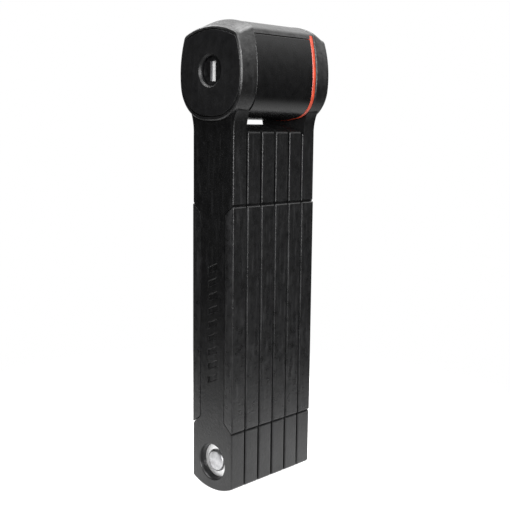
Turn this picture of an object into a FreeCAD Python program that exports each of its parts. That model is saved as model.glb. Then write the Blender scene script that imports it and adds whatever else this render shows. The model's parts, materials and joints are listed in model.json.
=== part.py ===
import FreeCAD, Part
import os
from math import atan2, cos, hypot, pi, sin, sqrt
from FreeCAD import Vector

# Folding bike lock, folded: six steel links in plastic coats, riveted end to end.
# The first link carries the lock head and the last one the end cap that docks on it.
# Millimetres. X runs across the stack from the key side to the end cap, Y across a link, Z up.
# The origin is under the middle of the stack, level with the links' lower ends.

# ---- the stack of links -------------------------------------------------------------------
LINK_COUNT = 6
PITCH = 8.5             # from the middle of one link to the middle of the next
COAT_THICK = 8.0        # a link over its coat, along X
CORE_THICK = 5.0        # the steel bar inside
COAT_HALF = 12.4        # half the width of a link over its coat
CORE_HALF = 10.6        # half the width of the steel bar
LINK_TOP = 159.1        # highest point of the four inner links
END_RISE = 3.2          # how far a link's rounded end stands over its corners
END_CORNER = 1.4        # rounding of those corners
LOW_PIVOT = 12.5        # height of the lower rivets: links 1-2, 3-4 and 5-6
HIGH_PIVOT = 142.0      # height of the upper rivets: links 2-3 and 4-5

# ---- edge guards --------------------------------------------------------------------------
GUARD_HALF = 12.65      # half the width of a link over its guards
GUARD_INNER = 7.7       # where a guard's edge lies on the broad face
GUARD_WEB = 11.5        # the guard's own thickness begins here on the narrow face
GUARD_WRAP = 1.1        # its thickness on the broad faces
NOTCHES = (27.7, 125.6)  # heights of the two notches that end the guards
NOTCH_DEPTH = 1.1
NOTCH_HALF = 0.9
GUARD_RUN = 4.0         # length of the slanted ends along Z

# ---- rivets -------------------------------------------------------------------------------
RIVET_R = 4.0
FIXED_GAP = 0.02        # radial clearance of a rivet in the link that holds it
RUNNING_GAP = 0.06      # and in the link that turns on it
HEAD_R = 6.0            # heads buried in the coats between links
HEAD_HIGH = 1.2
SPACER_R = 8.0
END_GAP = 0.03          # axial play on each side of a spacer
RECESS_RIM_R = 8.1      # open recess round the outer rivet heads
RECESS_FLOOR_R = 7.5
SEAT_DEPTH = 2.6        # counterbore in the steel below that recess
WASHER_THICK = 0.6
OUTER_HEAD_R = 4.9
OUTER_HEAD_HIGH = 1.3

# ---- the head -----------------------------------------------------------------------------
AXIS_Z = 180.6          # height of the cylinder and of the bolt
MID_Z = 179.4           # height at which the head is widest
BELLY_R = 50.0          # the underside
TOP_CORNER_R = 1.6
# Each outline: half width, corner (y, z), height of the crest, height of the lowest point, and the
# radius of the haunch between the side and the underside.
BODY = (19.1, (16.4, 197.4), 201.6, 161.0, 11.0)
BLOCK_INNER = (19.3, (16.5, 197.8), 201.7, 161.0, 13.5)
BLOCK_OUTER = (18.85, (15.9, 195.2), 198.8, 160.2, 15.5)
PLATE = (18.0, (15.3, 193.6), 197.3, 161.9, 15.0)
BLOCK_IN_X = 18.4       # the block of the head ends here and the sleeve begins
RIM_X = 25.6            # where the block's outer edge starts to round over
FACE_X = 26.9           # outer faces of the head and of the end cap
ARM_IN_X = (LINK_COUNT - 1) / 2 * PITCH - COAT_THICK / 2  # inner faces of the two outermost links
CAP_IN_X = 17.9         # inner face of the end cap
UNDER_RING_Z = 155.0    # the arm's inner face steps back to it above this height, clear of the ring
EDGE_ROUND = 0.6
PLATE_THICK = 1.5
FIT_GAP = 0.1           # between parts that are fitted together and don't move
SLEEVE_THICK = 1.6
SLEEVE_END_X = 15.6
RING_END_X = 17.6
RING_PROUD = 0.15
SEAM_Z = 195.0          # the top cover begins here
RING_TOP_Z = 196.8      # the ring ends here, under a tongue of the cover that runs on to the end cap
FLARE = ((12.4, 154.6), (12.9, 160.2), (14.5, 164.7))  # the arm widening into the head, y and z

# ---- cylinder and bolt --------------------------------------------------------------------
KEYHOLE_R = 6.1
KEYHOLE_CHAMFER = 0.75
PLUG_FRONT_X = -25.0
PLUG_REAR_X = -2.9
PLUG_R = 5.6
BARREL_R = 8.0
BARREL_REAR_X = -4.0
CAGE_R = 4.95           # inside of the plug, where the discs lie
KEYWAY = (3.3, 8.4)     # along Y and Z
PLUG_FACE_THICK = 1.25
DISC_COUNT = 6
DISC_PITCH = 1.7
DISC_THICK = 1.55
DISC_SLOT = (2.9, 7.6)
DISC_FIRST_X = -18.5
SIDEBAR_R = 0.75
SHUTTER_THICK = 0.6
SHUTTER_HALF_Z = 4.3
SHUTTER_EDGE_Y = 1.8
SHUTTER_CURL_R = 0.75
SHUTTER_CURL_HALF = 1.7
SHUTTER_PIN_R = 0.4
SHUTTER_PIN_Y = -2.3
SPRING_WIRE_R = 0.17
SPRING_TURNS = 4
TONGUE = (2.0, 7.0)     # tongue and slot between the plug and its cam, along Y and Z
TONGUE_X = -5.0
CLIP_X = -3.9
CLIP_THICK = 0.8
CLIP_GROOVE_R = 4.9
CLIP_R = 7.2
CHAMBER_R = 7.5         # room in the case for the clip and the bolt's tail
BARREL_PIN_R = 1.2
BARREL_PIN_X = -11.0
PIN_DEPTH = 1.2         # how far that pin reaches into the barrel
CAM_R = 3.9
CAM_END_X = 8.6
GROOVE_FLOOR_R = 2.5
GROOVE_STEPS = 48       # drill places along each groove
FOLLOWER_R = 1.0
FOLLOWER_X = -1.0
BOLT_R = 6.4
BOLT_REAR_X = -2.4
BOLT_FRONT_X = 16.4
BOLT_TRAVEL = 8.0       # over half a turn of the key
BOLT_FLAT = 5.6         # distance of the flat that stops the bolt from turning
SPIGOT_R = 11.5
CASE_FRONT_X = 16.4
GUIDE_R = 9.0
GUIDE_X = 7.0
STRIKE_R = 9.4
SCREW_SPOTS = ((-12.4, 192.6), (12.4, 192.6), (-10.8, 169.6), (10.8, 169.6))  # y and z
SCREW_R = 1.5
SCREW_HEAD_R = 2.75
SCREW_HEAD_HIGH = 1.8
SCREW_SOCKET_R = 1.2
SCREW_LONG = 12.0       # how far the screws reach into the case

# ---- sunk marking on the first link -----------------------------------------------------
MARK_COUNT = 9
MARK_LOW_Z = 48.0
MARK_PITCH = 6.0
MARK_HALF = 2.7         # half its width across the link
MARK_BAR = 2.2          # height of one slanted bar
MARK_SLANT = 2.4
MARK_DEPTH = 0.4

REACH = 60.0            # longer than anything it cuts


# ---- shared geometry ----------------------------------------------------------------------
def link_x(link):
    """Middle of a link, counted from 1 on the key side."""
    return (link - (LINK_COUNT + 1) / 2) * PITCH


def prism(wire, x_from, x_to):
    """A closed outline in the YZ plane, drawn out along X."""
    face = Part.Face(wire)
    face.translate(Vector(x_from - wire.BoundBox.XMin, 0, 0))
    return face.extrude(Vector(x_to - x_from, 0, 0))


def polygon(points, x=0.0):
    """Closed wire through (y, z) points."""
    corners = [Vector(x, y, z) for y, z in points]
    return Part.makePolygon(corners + corners[:1])


def box(x_span, y_span, z_span):
    return Part.makeBox(x_span[1] - x_span[0], y_span[1] - y_span[0], z_span[1] - z_span[0],
                        Vector(x_span[0], y_span[0], z_span[0]))


def rod(radius, x_from, x_to, z, y=0.0):
    """Cylinder along X."""
    return Part.makeCylinder(radius, x_to - x_from, Vector(x_from, y, z), Vector(1, 0, 0))


def upright(radius, x, z_from, z_to, y=0.0):
    """Cylinder along Z."""
    return Part.makeCylinder(radius, z_to - z_from, Vector(x, y, z_from), Vector(0, 0, 1))


def tube(outer, inner, x_from, x_to, z):
    return rod(outer, x_from, x_to, z).cut(rod(inner, x_from - 1, x_to + 1, z))


def cone(radius_from, radius_to, x_from, x_to, z):
    """Cone along X, from one radius to another."""
    return Part.makeCone(radius_from, radius_to, x_to - x_from, Vector(x_from, 0, z), Vector(1, 0, 0))


def mirrored(shape):
    """The same shape on the other side of the stack."""
    return shape.mirror(Vector(0, 0, 0), Vector(1, 0, 0))


def round_edges_along_x(solid, radius, keep):
    """Rounds the edges that run along X and whose place passes the test keep(y, z)."""
    chosen = []
    for edge in solid.Edges:
        first, last = edge.Vertexes[0].Point, edge.Vertexes[-1].Point
        straight = hypot(first.y - last.y, first.z - last.z) < 1e-6
        if straight and abs(first.x - last.x) > 1e-6 and keep(first.y, first.z):
            chosen.append(edge)
    return solid.makeFillet(radius, chosen)


def tidy(shape):
    """One clean solid out of a boolean result."""
    return shape.removeSplitter()


def crossing(centre_a, radius_a, centre_b, radius_b, side):
    """The point where two circles in the YZ plane cross, on the given side of the line between them."""
    dy, dz = centre_b[0] - centre_a[0], centre_b[1] - centre_a[1]
    apart = hypot(dy, dz)
    along = (radius_a ** 2 - radius_b ** 2 + apart ** 2) / (2 * apart)
    off = sqrt(radius_a ** 2 - along ** 2) * side
    return (centre_a[0] + (along * dy - off * dz) / apart, centre_a[1] + (along * dz + off * dy) / apart)


def through(centre, via, radius):
    """The point on a circle in the direction of another point."""
    dy, dz = via[0] - centre[0], via[1] - centre[1]
    scale = radius / hypot(dy, dz)
    return (centre[0] + dy * scale, centre[1] + dz * scale)


def arc_about(centre, radius, start, end, x):
    """Arc from start to end about a centre, the short way round."""
    first = atan2(start[1] - centre[1], start[0] - centre[0])
    last = atan2(end[1] - centre[1], end[0] - centre[0])
    turn = (last - first + pi) % (2 * pi) - pi
    half = first + turn / 2
    middle = (centre[0] + radius * cos(half), centre[1] + radius * sin(half))
    points = [Vector(x, *place) for place in (start, middle, end)]
    return Part.Arc(*points).toShape()


def head_wire(outline, x, inset=0.0):
    """The head's section: a low crown, two corners, bulging sides and a round belly in tangent arcs."""
    half, corner, crest, bottom, haunch_r = outline
    side_r = ((half - corner[0]) ** 2 + (corner[1] - MID_Z) ** 2) / (2 * (half - corner[0]))
    rise = crest - corner[1]
    crown_r = (corner[0] ** 2 + rise ** 2) / (2 * rise)
    side_c = (half - side_r, MID_Z)
    crown_c = (0.0, crest - crown_r)
    belly_c = (0.0, bottom + BELLY_R)
    haunch_c = crossing(side_c, side_r - haunch_r, belly_c, BELLY_R - haunch_r, -1)
    side_r, crown_r = side_r - inset, crown_r - inset
    belly_r, haunch_r = BELLY_R - inset, haunch_r - inset
    top = crossing(side_c, side_r, crown_c, crown_r, 1)
    if top[0] < 0:
        top = crossing(side_c, side_r, crown_c, crown_r, -1)
    low = through(side_c, haunch_c, side_r)
    under = through(belly_c, haunch_c, belly_r)

    def other(point):
        return (-point[0], point[1])

    edges = [
        arc_about(crown_c, crown_r, other(top), top, x),
        arc_about(side_c, side_r, top, low, x),
        arc_about(haunch_c, haunch_r, low, under, x),
        arc_about(belly_c, belly_r, under, other(under), x),
        arc_about(other(haunch_c), haunch_r, other(under), other(low), x),
        arc_about(other(side_c), side_r, other(low), other(top), x),
    ]
    return Part.Wire(edges)


def is_top_corner(y, z):
    return abs(y) > 10 and z > MID_Z + 10


def head_prism(outline, x_from, x_to, inset=0.0):
    """A slice of the head with its two top corners rounded."""
    solid = prism(head_wire(outline, 0.0, inset), x_from, x_to)
    return round_edges_along_x(solid, TOP_CORNER_R, is_top_corner)


def head_loft(sections):
    """The head's skin through (outline, x, inset) sections."""
    wires = [head_wire(outline, x, inset) for outline, x, inset in sections]
    return Part.makeLoft(wires, True, True)


# ---- links --------------------------------------------------------------------------------
def bar_wire(half, low, high, rise):
    """A bar's outline: straight sides and two shallow round ends."""
    left_low, right_low = Vector(0, -half, low + rise), Vector(0, half, low + rise)
    left_high, right_high = Vector(0, -half, high - rise), Vector(0, half, high - rise)
    return Part.Wire([
        Part.Arc(left_low, Vector(0, 0, low), right_low).toShape(),
        Part.LineSegment(right_low, right_high).toShape(),
        Part.Arc(right_high, Vector(0, 0, high), left_high).toShape(),
        Part.LineSegment(left_high, left_low).toShape(),
    ])


def bar(half, low, high, thick, corner, corner_test):
    solid = prism(bar_wire(half, low, high, END_RISE), -thick / 2, thick / 2)
    return round_edges_along_x(solid, corner, corner_test)


def notch_wedges():
    """V notches across both narrow faces, at both heights."""
    wedges = []
    for height in NOTCHES:
        for side in (-1, 1):
            outer, inner = side * (GUARD_HALF + 0.5), side * (GUARD_HALF - NOTCH_DEPTH)
            slope = NOTCH_HALF * (NOTCH_DEPTH + 0.5) / NOTCH_DEPTH
            wedge = polygon([(outer, height - slope), (outer, height + slope), (inner, height)])
            wedges.append(prism(wedge, -REACH / 2, REACH / 2))
    return wedges


def guard_pair():
    """The two edge guards of a link at x = 0, each wrapped round a narrow face."""
    low, high = NOTCHES
    guards = []
    for side in (-1, 1):
        outline = polygon([
            (side * GUARD_INNER, low + GUARD_RUN),
            (side * GUARD_HALF, low),
            (side * GUARD_HALF, high),
            (side * GUARD_INNER, high - GUARD_RUN),
        ])
        wrap = COAT_THICK / 2 - GUARD_WRAP
        web = box((-wrap, wrap), (-GUARD_WEB, GUARD_WEB), (0, LINK_TOP))
        guards.append(prism(outline, -COAT_THICK / 2, COAT_THICK / 2).cut(web).cut(notch_wedges()))
    return Part.makeCompound(guards)


def pivots_of(link):
    """(height, neighbour) of each rivet that a link has."""
    found = []
    for other in (link - 1, link + 1):
        if 1 <= other <= LINK_COUNT:
            found.append((LOW_PIVOT if min(link, other) % 2 else HIGH_PIVOT, other))
    return found


def holder_of(first):
    """Of links first and first + 1, the one that its rivet is fixed in."""
    return LINK_COUNT if first == LINK_COUNT - 1 else first


def has_open_recess(link):
    """The two outermost links show their rivet in an open recess."""
    return link in (1, LINK_COUNT)


def core(link):
    """Steel bar of one link, drilled for its rivets. The outermost two run up into head and end cap."""
    def corner_test(y, z):
        return abs(y) > CORE_HALF - 0.1

    margin = COAT_HALF - CORE_HALF
    solid = bar(CORE_HALF, margin, LINK_TOP - margin, CORE_THICK, END_CORNER, corner_test)
    if has_open_recess(link):
        neck = box((-CORE_THICK / 2, CORE_THICK / 2), (-CORE_HALF, CORE_HALF), (LINK_TOP / 2, AXIS_Z))
        eye = prism(head_wire(BODY, 0.0, SLEEVE_THICK + 1.2), -CORE_THICK / 2, CORE_THICK / 2)
        bore = SPIGOT_R if link == 1 else STRIKE_R
        solid = solid.fuse([neck, eye]).cut(rod(bore + FIXED_GAP, -REACH, REACH, AXIS_Z))
    for height, other in pivots_of(link):
        gap = FIXED_GAP if holder_of(min(link, other)) == link else RUNNING_GAP
        solid = solid.cut(rod(RIVET_R + gap, -REACH, REACH, height))
        if has_open_recess(link):
            outward = -1 if link == 1 else 1
            face = outward * CORE_THICK / 2
            span = sorted((face - outward * SEAT_DEPTH, face + outward))
            solid = solid.cut(rod(RECESS_FLOOR_R + FIXED_GAP, span[0], span[1], height))
    if link == 1:
        for y, z in SCREW_SPOTS:
            solid = solid.cut(rod(SCREW_R + FIXED_GAP, -REACH, REACH, z, y))
            head_floor = SCREW_HEAD_HIGH - CORE_THICK / 2
            solid = solid.cut(rod(SCREW_HEAD_R + FIT_GAP, -CORE_THICK, head_floor, z, y))
    solid = tidy(solid)
    solid.translate(Vector(link_x(link), 0, 0))
    return solid


def pivot_pockets(link):
    """What a link's coat leaves free round its rivets, at the link's own place."""
    pockets = []
    middle = link_x(link)
    for height, other in pivots_of(link):
        toward = 1 if other > link else -1
        steel, skin = CORE_THICK / 2, COAT_THICK / 2
        inner_side = sorted((middle + toward * steel, middle + toward * (skin + 1)))
        pockets.append(rod(SPACER_R + 0.4, inner_side[0], inner_side[1], height))
        outer_side = sorted((middle - toward * steel, middle - toward * (skin + 1)))
        if has_open_recess(link):
            skin_x, steel_x = -abs(middle) - skin, -abs(middle) - steel
            funnel = cone(RECESS_RIM_R, RECESS_FLOOR_R, skin_x, steel_x, height)
            well = rod(RECESS_FLOOR_R + FIXED_GAP, skin_x - 1, steel_x + SEAT_DEPTH, height)
            recess = funnel.fuse(well)
            pockets.append(recess if link == 1 else mirrored(recess))
        else:
            pockets.append(rod(HEAD_R + 0.4, outer_side[0], outer_side[1], height))
    return pockets


def marking():
    """Slanted bars sunk into the first link's outer face."""
    bars = []
    face = link_x(1) - COAT_THICK / 2
    for index in range(MARK_COUNT):
        low = MARK_LOW_Z + index * MARK_PITCH
        outline = polygon([
            (-MARK_HALF, low + MARK_SLANT),
            (MARK_HALF, low),
            (MARK_HALF, low + MARK_BAR),
            (-MARK_HALF, low + MARK_SLANT + MARK_BAR),
        ])
        bars.append(prism(outline, face - 1, face + MARK_DEPTH))
    return bars


def arm_flare(x_from, x_to):
    """The web that widens an end link's coat into the head, on both sides."""
    webs = []
    for side in (-1, 1):
        start, middle, end = [Vector(0, side * y, z) for y, z in FLARE]
        inside = Vector(0, side * CORE_HALF, end.z + 4)
        root = Vector(0, side * CORE_HALF, start.z)
        wire = Part.Wire([
            Part.Arc(start, middle, end).toShape(),
            Part.LineSegment(end, inside).toShape(),
            Part.LineSegment(inside, root).toShape(),
            Part.LineSegment(root, start).toShape(),
        ])
        webs.append(prism(wire, x_from, x_to))
    return webs


def end_arm():
    """Arm of an outermost link's coat on the key side, widening towards the head."""
    def corner_test(y, z):
        return abs(y) > COAT_HALF - 0.1 and z < AXIS_Z / 2

    arm = prism(bar_wire(COAT_HALF, 0, AXIS_Z + 2 * END_RISE, END_RISE), -ARM_IN_X - COAT_THICK, -ARM_IN_X)
    arm = round_edges_along_x(arm, END_CORNER, corner_test)
    return arm.fuse(arm_flare(-ARM_IN_X - COAT_THICK, -ARM_IN_X))


def key_side():
    """Arm and head block of link 1. The arm stops under the sleeve and the block goes on up beside it."""
    sleeve_space = prism(head_wire(BODY, 0.0, -FIT_GAP), -BLOCK_IN_X, BLOCK_IN_X)
    above = box((-BLOCK_IN_X, BLOCK_IN_X), (-REACH, REACH), (MID_Z, MID_Z + REACH))
    block = head_loft([
        (BLOCK_OUTER, -FACE_X, EDGE_ROUND),
        (BLOCK_OUTER, -RIM_X, 0.0),
        (BLOCK_INNER, -BLOCK_IN_X, 0.0),
    ])
    spigot_hole = rod(SPIGOT_R + FIT_GAP, -REACH, REACH, AXIS_Z)
    steel_x = -ARM_IN_X - (COAT_THICK + CORE_THICK) / 2
    screw_holes = [rod(SCREW_HEAD_R + FIT_GAP, steel_x, 0, z, y) for y, z in SCREW_SPOTS]
    seat = prism(head_wire(PLATE, 0.0, -FIT_GAP), -REACH, PLATE_THICK - FACE_X)
    return end_arm().cut([sleeve_space, above]).fuse(block).cut([spigot_hole, seat] + screw_holes)


def cap_side():
    """Arm and end cap of the last link, with the well for the strike bush."""
    cap = head_loft([
        (BLOCK_OUTER, -FACE_X, EDGE_ROUND),
        (BLOCK_OUTER, -RIM_X, 0.0),
        (BLOCK_INNER, -CAP_IN_X - EDGE_ROUND, 0.0),
        (BLOCK_INNER, -CAP_IN_X, EDGE_ROUND),
    ])
    ring_space = box((-CAP_IN_X, 0), (-REACH, REACH), (UNDER_RING_Z, UNDER_RING_Z + REACH))
    well = rod(STRIKE_R + FIT_GAP, -REACH, REACH, AXIS_Z)
    seat = prism(head_wire(PLATE, 0.0, -FIT_GAP), -REACH, PLATE_THICK - FACE_X)
    return mirrored(end_arm().cut(ring_space).fuse(cap).cut([well, seat]))


def inner_side(link):
    """Coat of one of the inner links, before its pockets are cut."""
    def corner_test(y, z):
        return abs(y) > COAT_HALF - 0.1

    solid = bar(COAT_HALF, 0, LINK_TOP, COAT_THICK, END_CORNER, corner_test)
    solid.translate(Vector(link_x(link), 0, 0))
    return solid


def coat(link, steel, guards):
    """Plastic coat of one link, open round its rivets and notched at the ends of its guards."""
    if link == 1:
        solid = key_side()
    elif link == LINK_COUNT:
        solid = cap_side()
    else:
        solid = inner_side(link)
    middle = link_x(link)
    cutters = [steel, guards] + notch_wedges() + pivot_pockets(link)
    for height, _ in pivots_of(link):
        cutters.append(rod(RIVET_R + 0.2, middle - CORE_THICK / 2, middle + CORE_THICK / 2, height))
    if link == 1:
        cutters += marking()
    return tidy(solid.cut(cutters))


# ---- rivets and washers -------------------------------------------------------------------
def inner_rivet(first):
    """Rivet between two inner links, with both heads buried in the coats."""
    left = link_x(first) - CORE_THICK / 2
    right = link_x(first + 1) + CORE_THICK / 2
    height = LOW_PIVOT if first % 2 else HIGH_PIVOT
    shank = rod(RIVET_R, left, right + END_GAP, height)
    heads = [
        rod(HEAD_R, left - HEAD_HIGH, left, height),
        rod(HEAD_R, right + END_GAP, right + END_GAP + HEAD_HIGH, height),
    ]
    return tidy(shank.fuse(heads))


def outer_rivet():
    """Rivet of links 1 and 2: a domed outer head on a washer, and a buried head in link 2."""
    seat = link_x(1) - CORE_THICK / 2 + SEAT_DEPTH - WASHER_THICK
    right = link_x(2) + CORE_THICK / 2
    shank = rod(RIVET_R, seat, right + END_GAP, LOW_PIVOT)
    dome = rod(OUTER_HEAD_R, seat - OUTER_HEAD_HIGH, seat, LOW_PIVOT)
    rim = [edge for edge in dome.Edges if abs(edge.BoundBox.XMax - (seat - OUTER_HEAD_HIGH)) < 1e-6]
    dome = dome.makeFillet(0.7, rim)
    tail = rod(HEAD_R, right + END_GAP, right + END_GAP + HEAD_HIGH, LOW_PIVOT)
    return tidy(shank.fuse([dome, tail]))


def outer_washer():
    seat = link_x(1) - CORE_THICK / 2 + SEAT_DEPTH
    return tube(RECESS_FLOOR_R - FIXED_GAP, RIVET_R + FIXED_GAP, seat - WASHER_THICK, seat, LOW_PIVOT)


def spacer(first):
    """Bearing washer between the steel of two links."""
    left = link_x(first) + CORE_THICK / 2 + END_GAP
    right = link_x(first + 1) - CORE_THICK / 2 - END_GAP
    height = LOW_PIVOT if first % 2 else HIGH_PIVOT
    return tube(SPACER_R, RIVET_R + RUNNING_GAP, left, right, height)


# ---- head ---------------------------------------------------------------------------------
def face_plate():
    """Plate with the chamfered keyhole."""
    plate = head_prism(PLATE, -FACE_X, PLATE_THICK - FACE_X)
    chamfer = cone(KEYHOLE_R + KEYHOLE_CHAMFER, KEYHOLE_R, -FACE_X, KEYHOLE_CHAMFER - FACE_X, AXIS_Z)
    return plate.cut([rod(KEYHOLE_R, -REACH, 0, AXIS_Z), chamfer])


def end_plate():
    """Plain plate on the end cap's outer face."""
    return mirrored(head_prism(PLATE, -FACE_X, PLATE_THICK - FACE_X))


def sleeve_skin(end_x):
    skin = head_prism(BODY, -BLOCK_IN_X, end_x)
    return skin.cut(prism(head_wire(BODY, 0.0, SLEEVE_THICK), -REACH, REACH))


def head_sleeve():
    """Glossy sleeve round the lock case, open at the top."""
    return sleeve_skin(SLEEVE_END_X).common(box((-REACH, REACH), (-REACH, REACH), (0, SEAM_Z)))


def top_cover():
    """Cover over the lock case, with a tongue that closes the ring's gap at the top."""
    cover = sleeve_skin(RING_END_X).common(box((-REACH, REACH), (-REACH, REACH), (SEAM_Z + FIT_GAP, 2 * SEAM_Z)))
    return cover.cut(box((SLEEVE_END_X, REACH), (-REACH, REACH), (0, RING_TOP_Z + FIT_GAP)))


def seal_ring():
    """Coloured ring on the docking face."""
    outer = head_prism(BODY, SLEEVE_END_X, RING_END_X, -RING_PROUD)
    hoop = outer.cut(prism(head_wire(BODY, 0.0, SLEEVE_THICK + 1.0), -REACH, REACH))
    return hoop.common(box((-REACH, REACH), (-REACH, REACH), (0, RING_TOP_Z)))


def lock_case():
    """Steel case: bored for the barrel and the bolt, with a spigot through the first link's eye."""
    body = prism(head_wire(BODY, 0.0, SLEEVE_THICK + FIT_GAP), -BLOCK_IN_X, SLEEVE_END_X)
    nose = prism(head_wire(BODY, 0.0, SLEEVE_THICK + 1.0 + FIT_GAP), 0, CASE_FRONT_X)
    spigot = rod(SPIGOT_R, PLATE_THICK - FACE_X + FIT_GAP, 0, AXIS_Z)
    solid = body.fuse([nose, spigot])
    bores = [
        rod(BARREL_R + FIXED_GAP, -REACH, BARREL_REAR_X, AXIS_Z),
        rod(CHAMBER_R, BARREL_REAR_X, GUIDE_X, AXIS_Z),
        rod(GUIDE_R + FIXED_GAP, GUIDE_X, REACH, AXIS_Z),
        upright(BARREL_PIN_R + FIXED_GAP, BARREL_PIN_X, 0, AXIS_Z),
    ]
    for y, z in SCREW_SPOTS:
        bores.append(rod(SCREW_R + FIXED_GAP, -REACH, SCREW_LONG - BLOCK_IN_X, z, y))
    return tidy(solid.cut(bores))


def case_screws():
    """Four screws that hold the lock case to the first link."""
    head_x = link_x(1) - CORE_THICK / 2
    screws = []
    for y, z in SCREW_SPOTS:
        head = rod(SCREW_HEAD_R, head_x + 0.1, head_x + SCREW_HEAD_HIGH, z, y)
        socket = rod(SCREW_SOCKET_R, head_x, head_x + 1.2, z, y)
        shank = rod(SCREW_R, head_x + 1.4, SCREW_LONG - BLOCK_IN_X - 0.2, z, y)
        screws.append(head.cut(socket).fuse(shank))
    return Part.makeCompound(screws)


def barrel():
    """Fixed cylinder barrel, with a groove for its pin and one for the sidebar."""
    solid = tube(BARREL_R, PLUG_R + 0.05, PLUG_FRONT_X, BARREL_REAR_X, AXIS_Z)
    seat = upright(BARREL_PIN_R + FIXED_GAP, BARREL_PIN_X, 0, AXIS_Z - BARREL_R + PIN_DEPTH + 0.2)
    return solid.cut([seat, sidebar_space(0.1, 0.5)])


def barrel_pin():
    """Cross pin that keeps the barrel in the case."""
    return upright(BARREL_PIN_R, BARREL_PIN_X, BODY[3] + SLEEVE_THICK + 0.6, AXIS_Z - BARREL_R + PIN_DEPTH)


def sidebar_space(gap, lift):
    """Room for the sidebar in the top of the plug, made larger by a gap and longer upwards by a lift."""
    first, last = DISC_FIRST_X, DISC_FIRST_X + DISC_COUNT * DISC_PITCH
    height = AXIS_Z + PLUG_R - SIDEBAR_R - 0.1
    x_span = (first - gap, last + gap)
    half = SIDEBAR_R + gap
    round_part = rod(half, x_span[0], x_span[1], height)
    above = box(x_span, (-half, half), (height, height + SIDEBAR_R + lift))
    return round_part.fuse(above) if lift else round_part


def sidebar():
    """Small bar that drops into the discs' gates and frees the plug."""
    return sidebar_space(0.0, 0.0)


def slot(sizes, x_from, x_to):
    """Rectangular passage along X on the cylinder's axis."""
    half_y, half_z = sizes[0] / 2, sizes[1] / 2
    return box((x_from, x_to), (-half_y, half_y), (AXIS_Z - half_z, AXIS_Z + half_z))


def key_plug():
    """Turning plug: a face with the keyway, a cage for the discs and a rear wall with the cam's slot."""
    solid = rod(PLUG_R, PLUG_FRONT_X, PLUG_REAR_X, AXIS_Z)
    cage_front = PLUG_FRONT_X + PLUG_FACE_THICK
    cage_rear = DISC_FIRST_X + DISC_COUNT * DISC_PITCH + 0.1
    cutters = [
        slot(KEYWAY, PLUG_FRONT_X - 1, cage_front + 1),
        rod(CAGE_R, cage_front, cage_rear, AXIS_Z),
        slot(TONGUE, TONGUE_X, PLUG_REAR_X + 1),
        sidebar_space(0.05, 1.0),
        tube(PLUG_R + 1, CLIP_GROOVE_R, CLIP_X, CLIP_X + CLIP_THICK, AXIS_Z),
    ]
    return tidy(solid.cut(cutters))


def plug_clip():
    """Open spring clip behind the barrel."""
    ring = tube(CLIP_R, CLIP_GROOVE_R + 0.05, CLIP_X + 0.05, CLIP_X + CLIP_THICK - 0.05, AXIS_Z)
    return ring.cut(box((-REACH, REACH), (-1.5, 1.5), (0, AXIS_Z)))


def tumbler_discs():
    """Disc tumblers in the plug's cage, gates aligned under the sidebar."""
    discs = []
    for index in range(DISC_COUNT):
        front = DISC_FIRST_X + index * DISC_PITCH
        disc = rod(CAGE_R - 0.05, front, front + DISC_THICK, AXIS_Z)
        passage = slot(DISC_SLOT, front - 1, front + DISC_THICK + 1)
        discs.append(disc.cut([passage, sidebar_space(0.05, 1.0)]))
    return Part.makeCompound(discs)


def shutter_front_x():
    return PLUG_FRONT_X + PLUG_FACE_THICK + FIT_GAP


def shutter_rod(radius, low, high):
    """Upright cylinder about the shutter's pin, between heights counted from the cylinder's axis."""
    return upright(radius, shutter_front_x() + SHUTTER_CURL_R, AXIS_Z + low, AXIS_Z + high, SHUTTER_PIN_Y)


def keyway_shutter():
    """Dust flap behind the keyway, rolled round its pin on one side."""
    x_span = (shutter_front_x(), shutter_front_x() + SHUTTER_THICK)
    leaf = box(x_span, (SHUTTER_PIN_Y, SHUTTER_EDGE_Y), (AXIS_Z - SHUTTER_HALF_Z, AXIS_Z + SHUTTER_HALF_Z))
    leaf = leaf.common(rod(CAGE_R - FIT_GAP, x_span[0] - 1, x_span[1] + 1, AXIS_Z))
    spring_room = [
        shutter_rod(SHUTTER_CURL_R + FIT_GAP, SHUTTER_CURL_HALF, REACH),
        shutter_rod(SHUTTER_CURL_R + FIT_GAP, -REACH, -SHUTTER_CURL_HALF),
    ]
    curl = shutter_rod(SHUTTER_CURL_R, -SHUTTER_CURL_HALF, SHUTTER_CURL_HALF)
    bore = shutter_rod(SHUTTER_PIN_R + 0.04, -REACH, REACH)
    return tidy(leaf.cut(spring_room).fuse(curl).cut(bore))


def shutter_pin():
    half = sqrt(CAGE_R ** 2 - SHUTTER_PIN_Y ** 2) - 0.4
    return shutter_rod(SHUTTER_PIN_R, -half, half)


def shutter_spring():
    """Close-wound coil round the shutter's pin, as separate rings."""
    rings = []
    ring_r = SHUTTER_PIN_R + SPRING_WIRE_R + 0.03
    for index in range(SPRING_TURNS):
        height = SHUTTER_CURL_HALF + 0.25 + index * (2 * SPRING_WIRE_R + 0.06)
        centre = Vector(shutter_front_x() + SHUTTER_CURL_R, SHUTTER_PIN_Y, AXIS_Z + height)
        rings.append(Part.makeTorus(ring_r, SPRING_WIRE_R, centre, Vector(0, 0, 1)))
    return Part.makeCompound(rings)


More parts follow.
